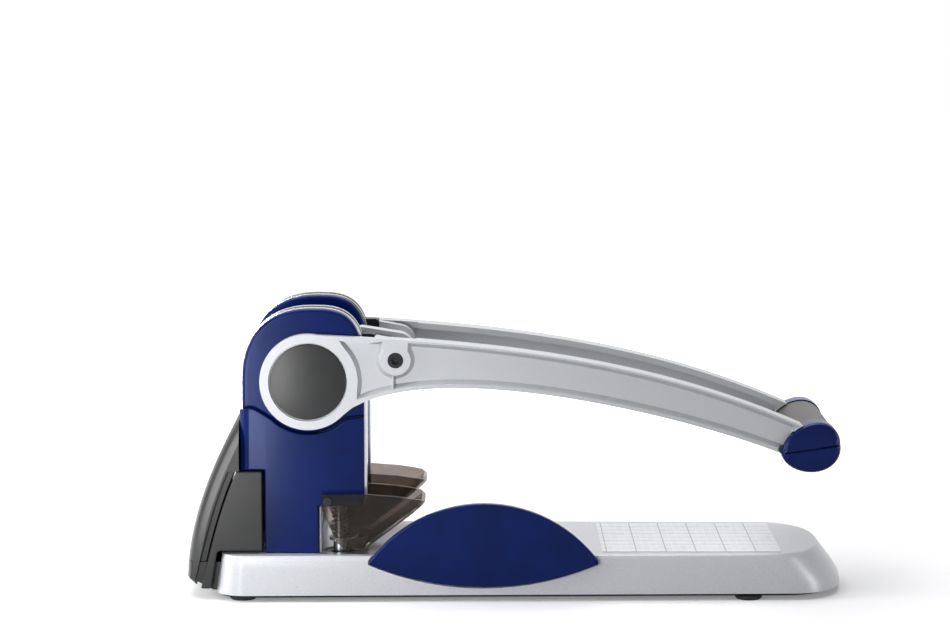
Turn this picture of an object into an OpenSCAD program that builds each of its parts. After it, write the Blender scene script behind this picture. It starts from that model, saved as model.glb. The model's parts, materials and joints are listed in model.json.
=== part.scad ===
// Heavy-duty two-hole punch with a long lever, for stacks of about 300 sheets.
// Millimetres. +X points to the user and the handle, +Z up, the origin is on the table
// under the middle of the machine. "Left" is the user's left, on the -Y side.

/* [Base] */
// Length from the rear cover to the nose
base_l = 442; // [410:1:560]
// Width of the base at its rear end
base_w = 130; // [124:1:160]
// How much each side of the base draws in towards the nose
side_taper = 6.5; // [0:0.5:10]
// Height of the deck above the table
deck_z = 31; // [26:1:38]
// How far the deck's edge stands in from the lower edge
shoulder_in = 2.5; // [1:0.5:6]
// How far the nose leans back from its lower edge to the deck
nose_lean = 16; // [10:1:24]
// How far the rear end leans forward from its lower edge to the deck
rear_lean = 5; // [0:0.5:8]
// Length of the rounded nose in plan
nose_l = 38; // [30:1:60]
// Wall of the base moulding
base_wall = 3; // [2.5:0.5:4]
// Height of the rubber feet
foot_h = 2.5; // [2:0.5:4]
// Radius of the rubber feet
foot_r = 9; // [6:1:12]

/* [Heads] */
// Distance between the two holes
hole_pitch = 80; // [78:1:100]
// Radius of the punched holes
hole_r = 3; // [2.5:0.5:3.5]
// From the paper's edge to the middle of the holes
hole_margin = 12; // [10:1:14]
// Tallest stack that goes under the heads
stack_h = 30; // [24:1:36]
// Width of a head over its lower covers
head_w = 28; // [28:1:36]
// How far the upper shells stand in from the lower covers, each side
shell_step = 2; // [1:0.5:3]
// Width of the silver strap round each head
strap_w = 15; // [15:1:16]
// How far the strap stands proud over the dome and the back
strap_proud = 0.6; // [0.2:0.2:1.6]
// How far the strap stands proud down the front
strap_front = 1.6; // [0.6:0.2:2]
// Height of the dome above the lever's axle
dome_h = 48; // [46:0.5:56]
// Reach of the dome behind the lever's axle
dome_back = 44; // [42:0.5:54]
// How far the lower covers reach out behind the upper shells
cover_back = 2; // [1:0.5:3]
// From the lever's axle to the head's front face
head_front = 37; // [36:0.5:42]

/* [Drive] */
// Height of the lever's axle above the deck
axle_h = 116; // [112:1:140]
// From the rear end of the machine to the lever's axle
axle_inset = 82.3; // [78:0.1:98]
// Radius of the axle
axle_r = 8; // [7:0.5:9]
// Module of the drive teeth
tooth_m = 2; // [1.8:0.1:2]
// Number of teeth that the whole circle would have
tooth_n = 20; // [20:1:22]
// Thickness of the toothed sectors and rams
sector_t = 8; // [7:0.5:8]
// How far the lever swings up
lever_turn = 96; // [80:1:96]
// Radial clearance of running fits
fit = 0.05; // [0.02:0.01:0.08]
// Clearance between parts that pass each other
gap = 0.4; // [0.3:0.1:0.6]

/* [Lever] */
// From the axle forward to the middle of the handle
reach = 333.5; // [300:0.5:400]
// How far the handle lies below the axle
drop = 45.2; // [30:0.1:54]
// Radius of the lever's hub
hub_r = 32; // [30:0.5:34]
// Radius of the black hub caps
cap_r = 25.6; // [20:0.2:27]
// Thickness of the hub plates beside the heads
hub_t = 6; // [5:0.5:8]
// Width of the lever's flanges
flange_w = 18; // [14:0.5:20]
// Thickness of the upper rim of an arm
rim_top = 4; // [3:0.5:5]
// Thickness of the lower rim of an arm
rim_low = 5.3; // [3:0.1:6]
// Thickness of the web between the rims
web_t = 3; // [2:0.5:4]
// Depth of the pocket in the arm's outer face
pocket_d = 4; // [2:0.5:4]
// From the axle forward to the bridge between the arms
bridge_x = 58; // [56:0.5:62]
// From the axle up to the bridge
bridge_z = 14.5; // [10:0.5:16]
// Radius of the bosses that hold the bridge
boss_r = 9; // [8:0.5:10]

/* [Handle] */
// Half the length of the handle's egg-shaped section
egg_a = 19.8; // [17:0.1:23]
// Height of the egg above its seam
egg_top = 17.3; // [14:0.1:20]
// Depth of the egg below its seam
egg_low = 15.5; // [13:0.1:19]
// Tilt of the seam, in degrees
egg_tilt = 9; // [0:1:15]
// Length of the blue end caps
cap_l = 17.5; // [14:0.5:20]
// Wall of the end caps
cap_wall = 2.5; // [2:0.5:3.5]

/* [Guards, side guide and tray] */
// Width of a guard over its side plates
guard_w = 44; // [40:1:46]
// Wall of the smoke-tinted guards
guard_wall = 1.6; // [1.2:0.2:2]
// Length of the side guide
guide_l = 155; // [110:1:165]
// Rise of the side guide above its corners
guide_up = 40.5; // [30:0.5:50]
// Fall of the side guide below its corners
guide_down = 15.8; // [10:0.2:17]
// How far the side guide pulls out
guide_travel = 90; // [60:1:90]
// Depth of the chip tray
tray_h = 19; // [12:1:19]

/* [Hidden] */

$fn = 72;
eps = 0.01;
silver = "#c9ccd1";
steel = "#9a9ea4";
blue = "#12267a";
black = "#26272a";
smoke = "#4a443f99";

// Main places, all in the side view unless they say otherwise
rear_x = -base_l / 2;
nose_x = base_l / 2;
plate_t = 2;
shell_z = foot_h + plate_t;
axle_x = rear_x + axle_inset;
axle_z = deck_z + axle_h;
pitch_r = tooth_m * tooth_n / 2;
punch_x = axle_x + pitch_r;
stop_x = punch_x - hole_margin;
stop_t = 1.5;
leg_x = stop_x - stop_t;
throat_z = deck_z + stack_h + 2;
travel = pitch_r * lever_turn * PI / 180;
head_y = hole_pitch / 2;
front_x = axle_x + head_front;
back_x = axle_x - dome_back;
leg_back_x = leg_x - 36;
notch_z = deck_z + 56;
shell_w = head_w - 2 * shell_step;
handle_x = axle_x + reach;
handle_z = axle_z - drop;

// Widths counted outwards from the middle of one head
plate_in = sector_t / 2 + 2 * gap;
plate_out = strap_w / 2;
skin = 2.2;

// Widths counted outwards from the middle of the machine
hub_in = head_y + shell_w / 2 + 0.5;
arm_out = hub_in + hub_t;
arm_in = arm_out - flange_w;
web_out = arm_out - pocket_d;

// Rams: rack on the front side of the punch axis, piston and punch below it
addendum = tooth_m;
dedendum = 1.25 * tooth_m;
rack_step = PI * tooth_m;
piston_r = 7;
piston_h = 6;
piston_z = throat_z + 21;
ram_top = axle_z + 5;
ram_back = punch_x + dedendum;
ram_front = punch_x + 12.5;
barrel_top = piston_z + piston_h + travel + gap;
barrel_w = 19;
barrel_front = front_x - 1.6;

// ---------- shared shapes ----------

// Extrudes a side-view outline across the machine from y = from to y = to
module across(from, to) {
    translate([0, to, 0])
        rotate([90, 0, 0])
            linear_extrude(to - from)
                children();
}

// A rod along Y
module rod(r, from, to) {
    translate([0, to, 0])
        rotate([90, 0, 0])
            cylinder(r = r, h = to - from);
}

// Places children at the axle, seen from the side
module at_axle() {
    translate([axle_x, 0, axle_z])
        children();
}

// Children on both sides of the machine
module both_sides() {
    children();
    mirror([0, 1, 0])
        children();
}

// Moves what is drawn round y = 0 to the left or right head
module on_head(side) {
    translate([0, side * head_y, 0])
        children();
}

function polar(c, r, a) = [c[0] + r * cos(a), c[1] + r * sin(a)];

function arc(c, r, from, to, n = 12) =
    [for (i = [0 : n]) polar(c, r, from + (to - from) * i / n)];

function bezier(p, t) =
    pow(1 - t, 3) * p[0] + 3 * pow(1 - t, 2) * t * p[1]
    + 3 * (1 - t) * t * t * p[2] + t * t * t * p[3];

function slope(p, t) =
    3 * pow(1 - t, 2) * (p[1] - p[0]) + 6 * (1 - t) * t * (p[2] - p[1])
    + 3 * t * t * (p[3] - p[2]);

// Points along a Bezier curve, moved sideways by shift
function along(p, shift = 0, from = 0, to = 1, n = 26) =
    [for (i = [0 : n])
        let (t = from + (to - from) * i / n, d = slope(p, t))
        bezier(p, t) + shift * [-d[1], d[0]] / norm(d)];

// A quarter of a superellipse from angle a0 to a1
function quarter(c, a, b, power, a0, a1, n = 14) =
    [for (i = [0 : n])
        let (w = a0 + (a1 - a0) * i / n)
        [c[0] + a * sign(cos(w)) * pow(abs(cos(w)), 2 / power),
         c[1] + b * sign(sin(w)) * pow(abs(sin(w)), 2 / power)]];

// ---------- base ----------

base_rear = rear_x + 19;

// Plan of the base: sides that draw in towards a round nose, rounded rear corners
module base_plan(inset = 0, back = 0, rear_in = 0) {
    corner = 20 - rear_in;
    rear = base_rear + rear_in;
    tip = nose_x - back;
    rear_half = base_w / 2 - inset;
    nose_half = rear_half - side_taper;
    polygon(concat(
        quarter([tip - nose_l, 0], nose_l, nose_half, 2.35, 0, 90, 20),
        arc([rear + corner, rear_half - corner], corner, 90, 180, 8),
        arc([rear + corner, corner - rear_half], corner, 180, 270, 8),
        quarter([tip - nose_l, 0], nose_l, nose_half, 2.35, -90, 0, 20)));
}

// One level of the base, as shares of its height, the shoulder's inset and the nose's lean
module base_slice(up, inset, back) {
    translate([0, 0, shell_z + (deck_z - shell_z - eps) * up])
        linear_extrude(eps)
            base_plan(shoulder_in * inset, nose_lean * back, rear_lean * up);
}

module base_form() {
    hull() {
        base_slice(0, 0, 0);
        base_slice(0.25, 0.06, 0.08);
        base_slice(0.5, 0.12, 0.35);
        base_slice(0.7, 0.18, 0.65);
        base_slice(0.88, 0.28, 0.84);
        base_slice(0.97, 0.6, 0.94);
        base_slice(1, 1, 1);
    }
}

bay_y = base_w / 2 - side_taper - shoulder_in - base_wall;
bay_z = deck_z - base_wall;
guide_x = axle_x + 116.5;
tongue_w = 60;
tongue_z = shell_z + 8.5;
tongue_t = 3;
guide_y = base_w / 2 - 0.5;
guide_t = 5;
guide_seat = 1;
tray_w = 100;
tray_z = shell_z + 1;
tray_front = punch_x + 24;
rib_t = 4;
nose_bay = 54;

module base_shell() {
    color(silver)
        difference() {
            base_form();
            // bays under the deck: chip tray, side guide and nose
            translate([rear_x, -tray_w / 2 - 1, shell_z - 1])
                cube([tray_front + 2 - rear_x, tray_w + 2, bay_z - shell_z + 1]);
            translate([tray_front + 2 + rib_t, -bay_y, shell_z - 1])
                cube([guide_x + tongue_w / 2 + 8 - tray_front - 2 - rib_t, 2 * bay_y,
                      bay_z - shell_z + 1]);
            for (i = [0 : 1])
                translate([guide_x + tongue_w / 2 + 8 + rib_t + (nose_bay + rib_t) * i,
                           -bay_y, shell_z - 1])
                    cube([nose_bay, 2 * bay_y, bay_z - shell_z + 1]);
            // seat of the die plate, and the dies' chip holes
            translate([leg_x - eps, -die_y - 0.1, deck_z - die_t])
                cube([die_front - leg_x + 0.1, 2 * die_y + 0.2, die_t + 1]);
            for (side = [-1, 1])
                translate([punch_x, side * head_y, bay_z - 8])
                    cylinder(r = die_r + fit, h = 20);
            // seat of the side guide and the slot for its tongue
            across(-guide_y - 1, -guide_y + guide_t + gap)
                guide_outline(guide_seat);
            translate([guide_x - tongue_w / 2 - gap, -guide_y, tongue_z - gap])
                cube([tongue_w + 2 * gap, 20, tongue_t + 2 * gap]);
        }
}

module bottom_plate() {
    color(black)
        difference() {
            translate([0, 0, foot_h])
                linear_extrude(plate_t)
                    base_plan(4, 5, 4);
            for (p = screw_places)
                translate([p[0], p[1], 0])
                    cylinder(r = 1.7, h = shell_z + 1);
        }
}

foot_places = [for (x = [rear_x + 38, nose_x - 66]) for (y = [-1, 1]) [x, y * (base_w / 2 - 14)]];
screw_places = [for (i = [0 : 1]) for (y = [-1, 1])
    [guide_x + tongue_w / 2 + 8 + rib_t / 2 + (nose_bay + rib_t) * i, y * 28]];

module rubber_feet() {
    color(black)
        for (p = foot_places)
            translate([p[0], p[1], 0])
                rotate_extrude()
                    polygon([[0, 0], [foot_r - 1, 0], [foot_r, 1], [foot_r, foot_h], [0, foot_h]]);
}

module bottom_screws() {
    color(steel)
        for (p = screw_places)
            translate([p[0], p[1], foot_h - 1.2])
                rotate_extrude()
                    polygon([[0, 0], [2.6, 0], [3.2, 1.2], [1.6, 1.2], [1.6, 3.2], [0, 3.2]]);
}

die_t = 2.5;
die_y = head_y + head_w / 2 + 1.5;
die_front = punch_x + 20;
die_r = 11;
die_low = deck_z - 6;

module die_plate() {
    color(steel)
        difference() {
            translate([leg_x, -die_y, deck_z - die_t])
                cube([die_front - leg_x, 2 * die_y, die_t]);
            for (side = [-1, 1])
                translate([punch_x, side * head_y, 0])
                    cylinder(r = die_r + fit, h = deck_z + 1);
        }
}

// Hardened dies, sunk a little under the deck
module die_buttons() {
    color("#55585e")
        for (side = [-1, 1])
            translate([punch_x, side * head_y, 0])
                rotate_extrude()
                    difference() {
                        polygon([[0, die_low], [die_r, die_low], [die_r, deck_z - 0.6],
                                 [hole_r + 3, deck_z - 0.6], [hole_r + 2.4, deck_z], [0, deck_z]]);
                        square([hole_r + fit, deck_z + 1]);
                        square([hole_r + 1.2, deck_z - 3]);
                    }
}

module back_stop() {
    half = head_y + 10;
    color(silver)
        difference() {
            translate([leg_x, -half, deck_z])
                cube([stop_t, 2 * half, stack_h + 1]);
            // window between the heads
            translate([leg_x - 1, -head_y + head_w / 2 + 6, deck_z + 8])
                cube([stop_t + 2, 2 * head_y - head_w - 12, stack_h - 14]);
        }
}

module label_plate() {
    color("white")
        translate([nose_x - 164, -50, deck_z])
            cube([120, 100, 0.3]);
}

// ---------- heads ----------

// Outline of the dome and column, grown by top over the dome, by front and by back
module head_outline(top = 0, front = 0, back = 0) {
    c = [axle_x + 2.5, axle_z];
    polygon(concat(
        [[leg_x, throat_z], [front_x + front, throat_z]],
        quarter(c, front_x - c[0] + front, dome_h + top, 3, 0, 90),
        quarter(c, c[0] - back_x + back, dome_h + top, 2.3, 90, 180),
        [[back_x - back, notch_z], [leg_back_x, notch_z], [leg_back_x, deck_z], [leg_x, deck_z]]));
}

// Everything under the wavy joint between upper shell and lower cover
module below_joint(rise = 0) {
    c = [axle_x, axle_z];
    r = hub_r + 3.5 - rise;
    polygon(concat(
        [[back_x - 9, deck_z - 1], [back_x - 9, axle_z - 19.6 + rise],
         [back_x - 1, axle_z - 19.6 + rise], [back_x + 4, axle_z - 18.4 + rise],
         [back_x + 8, axle_z - 18.8 + rise], [back_x + 12, axle_z - 21 + rise]],
        arc(c, r, 226, 314, 14),
        [[front_x - 4, axle_z - 24.4 + rise], [front_x + 3, axle_z - 23.4 + rise],
         [front_x + 3, deck_z - 1]]));
}

// Sweep of the lever's drive arm and ears through the strap, as a wedge
module sweep_slot() {
    at_axle()
        across(-plate_in, plate_in)
            polygon(concat([[0, 0]], arc([0, 0], 1.6 * dome_h, 20, 46 + lever_turn, 16)));
}

module head_frame() {
    color(steel)
        both_sides()
            difference() {
                across(plate_in, plate_out)
                    head_outline(-0.8, -0.8, -0.8);
                at_axle()
                    rod(bush_r + fit, 0, head_w);
                // room for the barrel
                translate([leg_x + 0.2, 0, 0])
                    cube([front_x - leg_x, head_w, barrel_top + 0.2]);
            }
}

module head_strap() {
    color(silver)
        difference() {
            across(-strap_w / 2, strap_w / 2)
                difference() {
                    head_outline(strap_proud, strap_front, strap_proud);
                    head_outline(-0.7, -0.7, -0.7);
                    // open below, along the leg
                    translate([back_x - 20, 0])
                        square([leg_x - back_x + 22, throat_z + 0.5]);
                    translate([back_x - 20, 0])
                        square([leg_x - back_x, notch_z + 1]);
                }
            sweep_slot();
        }
}

// Space that the ram barrel takes, with a little air round it
module barrel_room() {
    translate([leg_x, -barrel_w / 2 - gap, throat_z - 1])
        cube([barrel_front + gap - leg_x, barrel_w + 2 * gap, barrel_top + gap + 1 - throat_z]);
}

// Right-hand half of a head's upper cover, drawn outwards from y = 0
module upper_shell() {
    color(blue)
        difference() {
            across(plate_out + 0.1, shell_w / 2)
                difference() {
                    head_outline();
                    below_joint(0.3);
                }
            across(0, shell_w / 2 - skin)
                difference() {
                    head_outline(-skin, -skin, -skin);
                    below_joint(skin);
                }
            barrel_room();
            at_axle()
                rod(axle_r + 2 * gap, 0, head_w);
        }
}

module lower_cover() {
    color(blue)
        difference() {
            across(plate_out + 0.1, head_w / 2)
                intersection() {
                    head_outline(0, 0, cover_back);
                    below_joint();
                }
            // room for frame and barrel
            across(0, head_w / 2 - skin)
                difference() {
                    intersection() {
                        head_outline(-skin, -skin, -skin);
                        below_joint(-skin);
                    }
                    translate([leg_back_x - 5, 0])
                        square([leg_x - leg_back_x + 10, deck_z + skin]);
                }
            barrel_room();
            translate([guard_x, 0, guard_z])
                rod(guard_pin_r + 0.02, 0, head_w);
            // rounded rear corner
            translate([back_x - cover_back, head_w / 2, notch_z - 1])
                difference() {
                    translate([-1, -cover_round, 0])
                        cube([cover_round + 1, cover_round + 1, axle_h]);
                    translate([cover_round, -cover_round, -1])
                        cylinder(r = cover_round, h = axle_h + 2);
                }
        }
}

// Steel barrel that guides the ram and the presser; its front slot keeps both from turning
module ram_barrel() {
    slot_w = sector_t + 2 * gap;
    color(steel)
        difference() {
            translate([leg_x + 0.3, -barrel_w / 2, throat_z])
                cube([barrel_front - leg_x - 0.3, barrel_w, barrel_top - throat_z]);
            at_axle()
                rod(tip_r + gap, -slot_w / 2, slot_w / 2);
            translate([punch_x, 0, throat_z - 1])
                cylinder(r = piston_r + fit, h = barrel_top);
            translate([punch_x, -slot_w / 2, throat_z - 1])
                cube([40, slot_w, barrel_top]);
        }
}

cover_round = 7;
bush_r = axle_r + 2.5;

module axle_bushes() {
    color("#b08d57")
        for (side = [-1, 1])
            on_head(side)
                both_sides()
                    at_axle()
                        difference() {
                            union() {
                                rod(bush_r, plate_in, shell_w / 2 - skin - 0.2);
                                rod(bush_r + 2.5, plate_out, shell_w / 2 - skin - 0.2);
                            }
                            rod(axle_r + fit, 0, head_w);
                        }
}

// ---------- covers behind the heads ----------

spine = [[back_x - cover_back, axle_z - 23], [back_x - 20, axle_z - 55],
         [rear_x + 1, deck_z + 21], [rear_x, deck_z - 18]];

panel_top = notch_z - 0.6;
panel_low = shell_z + 3;
cover_half = head_y + head_w / 2;

// Rear edge of the side panels, from top to bottom
panel_edge = [[back_x - 0.5, notch_z + 7], [back_x - 15, notch_z - 21],
              [rear_x + 17, deck_z + 4.5], [rear_x + 10, panel_low]];

module rear_outline(inset) {
    polygon(concat(
        along(spine, inset, 0, 1, 14),
        [[rear_x + 6 + 0.6 * inset, shell_z + 3.8], [base_rear - 1.5, shell_z + 3],
         [base_rear - 0.8, deck_z], [back_x, notch_z]]));
}

// Outer form of the cover, drawn in narrower slices towards its rounded sides
module rear_form() {
    hull() {
        across(14 - cover_half, cover_half - 14)
            rear_outline(0);
        across(6 - cover_half, cover_half - 6)
            rear_outline(1.8);
        across(2.5 - cover_half, cover_half - 2.5)
            rear_outline(4.5);
        across(-cover_half - 0.5, cover_half + 0.5)
            rear_outline(8.5);
    }
}

// Everything in front of the joint with the side panels
module before_panel(joint) {
    difference() {
        polygon(concat(
            along(panel_edge, -joint, 0, 1, 16),
            [[rear_x + 10 - joint, 0], [axle_x, 0], [axle_x, axle_z]]));
        translate([rear_x, panel_top])
            square([base_l, axle_z]);
    }
}

// Curved cover behind both heads, rounded towards its sides
module rear_cover() {
    joint = 1.2;
    groove = 5.2;
    wall = 3;
    inside = cover_half - 12;
    color(black)
        difference() {
            rear_form();
            // hollow inside, open to the front
            across(-inside, inside)
                polygon(concat(
                    along(spine, wall, 0.04, 0.96, 12),
                    [[rear_x + 40, deck_z - 14], [rear_x + 40, notch_z], [back_x + 5, notch_z],
                     [back_x + 5, axle_z - 30]]));
            across(-base_w, base_w)
                before_panel(joint);
            both_sides()
                across(cover_half - 5, base_w)
                    before_panel(groove);
            // flush front edge behind the heads
            translate([back_x - cover_back - gap, -base_w, panel_top - 1])
                cube([60, 2 * base_w, axle_z]);
            // mouth of the chip tray
            translate([rear_x - 5, -tray_w / 2 - gap, 0])
                cube([60, tray_w + 2 * gap, tray_z + tray_h + gap]);
        }
}

// Side view of a panel: wide beside the leg, with a tail down behind the base
module panel_outline(inset = 0) {
    top_x = leg_back_x - 1.4 - inset;
    low = deck_z + 2 + inset;
    difference() {
        polygon(concat(
            along(panel_edge, inset, 0, 1, 16),
            [[base_rear - 2, panel_low], [base_rear + 1.6, low - 4], [base_rear + 2, low - 1.5],
             [base_rear + 3, low - 0.3], [base_rear + 4.5, low], [top_x, low],
             [top_x, axle_z]]));
        translate([rear_x, panel_top - inset])
            square([base_l, axle_z]);
    }
}

module side_panel() {
    from = head_y - head_w / 2 + 1;
    to = cover_half + 2.5;
    wall = 2.5;
    color(black)
        difference() {
            across(from, to)
                panel_outline();
            across(from + 2, to - wall)
                difference() {
                    panel_outline(wall);
                    translate([rear_x, 0])
                        square([base_l, deck_z + 2 + wall]);
                }
            // room for the chip tray
            translate([rear_x, 0, 0])
                cube([60, tray_w / 2 + gap, tray_z + tray_h + gap]);
        }
}

// ---------- lever ----------

bridge_at = [axle_x + bridge_x, axle_z + bridge_z];
bridge_r = 6;
ear_r = 12;
clear_r = 53;
slope_w = 2.7;
boss_foot = boss_r + 1 + slope_w;

top_curve = [polar([axle_x, axle_z], hub_r, 78), [axle_x + 0.358 * reach, axle_z + 25.6],
             [axle_x + 0.673 * reach, axle_z + 16.1], [handle_x - 4, handle_z + 15]];
low_curve = [polar([axle_x, axle_z], hub_r + 2, -30), [axle_x + 0.267 * reach, axle_z + 17],
             [axle_x + 0.758 * reach, axle_z - 23.3], [handle_x - 19, handle_z - 3]];

module arm_outline() {
    n = 26;
    polygon(concat(
        along(top_curve, 0, 0, 1, n),
        [[handle_x + 8, handle_z]],
        [for (i = [n : -1 : 0]) bezier(low_curve, i / n)],
        arc([axle_x, axle_z], hub_r, -44, -282, 40)));
}

// The pocket between the rims of an arm, at the foot of its sloping walls
module pocket_outline() {
    n = 24;
    difference() {
        polygon(concat(
            along(top_curve, -rim_top, 0.02, 0.98, n),
            along(low_curve, rim_low, 1, 0.02, n)));
        translate([axle_x, axle_z])
            circle(hub_r + 1 + slope_w);
        boss_outline();
        // rib under the boss
        translate([bridge_at[0] - 2.4, bridge_at[1] - 40])
            square([1.6, 40]);
    }
}

module boss_outline() {
    translate(bridge_at) {
        circle(boss_foot);
        translate([2 - boss_foot, 0])
            square([2 * boss_foot - 4, 20]);
    }
}

module egg(grow = 0, centre = [handle_x, handle_z]) {
    translate(centre)
        rotate(egg_tilt)
            polygon(concat(
                [for (w = [0 : 9 : 180])
                    let (v = (egg_top + grow) * sin(w) * (1 + 0.1 * cos(w)))
                    [(egg_a + grow) * cos(w) + 0.15 * v, v]],
                [for (w = [189 : 9 : 351])
                    [(egg_a + grow) * cos(w), (egg_low + grow) * sin(w) * (1 + 0.1 * cos(w))]]));
}

// Everything above (or below) the seam of the egg
module seam_side(upper, clear = 0.15) {
    translate([handle_x, handle_z])
        rotate(egg_tilt)
            translate([-50, upper ? clear : -50 - clear])
                square([100, 50]);
}

// Left-hand arm, an I-section casting with a flat hub plate beside the head
module arm_form() {
    color(silver)
        difference() {
            union() {
                // rims
                across(-arm_out, -arm_in)
                    difference() {
                        arm_outline();
                        pocket_outline();
                        translate([axle_x, axle_z])
                            circle(clear_r);
                        egg(0.3);
                    }
                // web and inner boss
                across(-web_out, -web_out + web_t)
                    difference() {
                        arm_outline();
                        translate([axle_x, axle_z])
                            circle(clear_r);
                        egg(0.3);
                    }
                // hub plate
                across(-arm_out, -hub_in)
                    intersection() {
                        arm_outline();
                        translate([axle_x, axle_z])
                            circle(clear_r + eps);
                    }
                // tenon inside the end cap
                across(-web_out, -web_out + web_t)
                    intersection() {
                        arm_outline();
                        egg(-cap_wall - 0.5);
                    }
                difference() {
                    translate([bridge_at[0], 0, bridge_at[1]])
                        rod(boss_r, -arm_out, -bridge_end - 0.05);
                    at_axle()
                        rod(clear_r, -hub_in, 0);
                }
                translate([0, -web_out, 0])
                    tenon_neck();
            }
            // outer pocket over the hub plate
            across(-arm_out - 1, -web_out)
                intersection() {
                    pocket_outline();
                    translate([axle_x, axle_z])
                        circle(clear_r + 1);
                }
            // seat of the hub cap
            at_axle()
                rod(cap_r + 0.6, -arm_out - 1, -arm_out + cap_t);
            axle_form(fit, 1);
            // room for the bridge's ears
            translate([axle_x, -head_y - sector_t / 2 - gap, axle_z])
                cube([bridge_x + boss_foot + 1, head_y, 40]);
            // screw into the bridge
            translate([bridge_at[0], 0, bridge_at[1]]) {
                rod(boss_foot + 1, -bridge_end - 0.05, 0);
                rod(3.2, -arm_out - 1, 0);
                rod(screw_r + 0.3, -arm_out - 1, -arm_out + 5);
            }
            // tie rod of the handle
            translate([handle_x, 0, handle_z])
                rod(rod_r + fit, -arm_out - 1, 0);
        }
}

// Short neck that joins the tenon to the web through the cap's slot
module tenon_neck() {
    across(0, web_t)
        intersection() {
            arm_outline();
            difference() {
                egg(1);
                egg(-cap_wall - 1);
            }
            neck_outline(0);
        }
}

module neck_outline(clear) {
    translate([handle_x - 24, handle_z - 2 - clear])
        square([18, 12 + 2 * clear]);
}

cap_t = 2.6;
screw_r = 4.9;
rod_r = 4;
bridge_end = head_y + 6;

module hub_cap() {
    color(black)
        at_axle()
            rotate([90, 0, 0])
                translate([0, 0, arm_out - cap_t])
                    rotate_extrude()
                        polygon([[0, 0], [cap_r, 0], [cap_r, cap_t - 0.4],
                                 [cap_r - 0.8, cap_t + 0.2], [cap_r * 0.5, cap_t + 0.6],
                                 [0, cap_t + 0.8]]);
}

// The axle with two flats at each end, grown by g and made longer by extra
module axle_form(g = 0, extra = 0) {
    at_axle()
        intersection() {
            rod(axle_r + g, -arm_out + cap_t - extra, arm_out - cap_t + extra);
            union() {
                translate([-50, -hub_in + 0.2, -50])
                    cube([100, 2 * hub_in - 0.4, 100]);
                translate([-50, -100, -axle_r * 0.75 - g])
                    cube([100, 200, 1.5 * axle_r + 2 * g]);
            }
        }
}

module axle() {
    color(steel)
        axle_form();
}

// Involute of the drive teeth: half the tooth's angle at radius r
base_r = pitch_r * cos(20);
backlash = 0.12;
function inv(r) = let (t = sqrt(max(r * r / (base_r * base_r) - 1, 0))) t * 180 / PI - atan(t);
function tooth_half(r) = (PI * tooth_m / 4 - backlash) / pitch_r * 180 / PI + inv(pitch_r) - inv(r);
tip_r = pitch_r + addendum;
root_r = pitch_r - dedendum;

function tooth(a) = concat(
    [polar([0, 0], root_r - 0.5, a - tooth_half(base_r) - 0.5)],
    [for (i = [0 : 5]) let (r = base_r + (tip_r - base_r) * i / 5) polar([0, 0], r, a - tooth_half(r))],
    [for (i = [5 : -1 : 0]) let (r = base_r + (tip_r - base_r) * i / 5) polar([0, 0], r, a + tooth_half(r))],
    [polar([0, 0], root_r - 0.5, a + tooth_half(base_r) + 0.5)]);

// Corner of the drive arm's end, from the axle
block = [bridge_x - 13.4, 30.6];

// Black steel sector on the axle inside each head, with the arm that meets the bridge
module drive_sector() {
    first = -ceil((lever_turn + 20) / (360 / tooth_n));
    color(black)
        at_axle()
            difference() {
                union() {
                    across(-sector_t / 2, sector_t / 2) {
                        circle(axle_r + 5);
                        polygon(concat([[0, 0]],
                            arc([0, 0], root_r, first * 360 / tooth_n - 8, 30, 24)));
                        for (k = [first : 1])
                            polygon(tooth(k * 360 / tooth_n));
                    }
                    across(-sector_t / 2, sector_t / 2)
                        polygon([[-2, axle_r + 3], [block[0] - 10, block[1]],
                                 [block[0] - 2.5, block[1]], [block[0] - 0.7, block[1] - 0.8],
                                 [block[0], block[1] - 2.6], [block[0], block[1] - 14],
                                 polar([0, 0], root_r + 3.5, 28), polar([0, 0], axle_r + 2, 40)]);
                }
                rod(axle_r + fit, -head_w, head_w);
            }
}

// Outline of an ear: from the drive arm's end to a round boss on the bridge
module ear_outline(rear = block[0]) {
    polygon(concat(
        [[rear, block[1] - 1.5], [rear, block[1] - 14]],
        arc([bridge_x, bridge_z], ear_r, -100, 85, 20)));
}

// Outline of the centre arm that clamps the axle between the heads
module centre_outline(inset = 0) {
    c = [0, 0];
    polygon(concat(
        arc([bridge_x, bridge_z], ear_r - inset, -80, 86, 16),
        [[bridge_x - 24, 30.4 - inset], [bridge_x - 42, 25 - inset]],
        arc(c, axle_r + 5 - inset, 100, 300, 16),
        [[bridge_x - 30, 4 + inset]]));
}

module bridge() {
    color(silver)
        difference() {
            at_axle() {
                translate([bridge_x, 0, bridge_z])
                    rod(bridge_r, -bridge_end, bridge_end);
                for (side = [-1, 1])
                    on_head(side)
                        across(-sector_t / 2, sector_t / 2)
                            ear_outline();
                across(-6, 6)
                    difference() {
                        centre_outline();
                        difference() {
                            centre_outline(3);
                            circle(axle_r + 5);
                            translate([bridge_x, bridge_z])
                                circle(bridge_r + 4);
                        }
                    }
                across(-1.5, 1.5)
                    centre_outline(1);
            }
            at_axle() {
                rod(axle_r + fit, -20, 20);
                translate([bridge_x, 0, bridge_z])
                    for (side = [-1, 1])
                        rotate([-90 * side, 0, 0])
                            translate([0, 0, bridge_end - 16])
                                cylinder(r = 3 + fit, h = 30);
            }
        }
}

module bridge_screws() {
    color(black)
        both_sides()
            translate([bridge_at[0], 0, bridge_at[1]])
                difference() {
                    union() {
                        rod(3, -arm_out + 1, -bridge_end + 14);
                        rod(screw_r, -arm_out - 0.2, -arm_out + 5);
                    }
                    translate([0, -arm_out + 2.6, 0])
                        rotate([90, 0, 0])
                            cylinder(r = 2.9, h = 10, $fn = 6);
                }
}

// ---------- handle ----------

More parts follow.
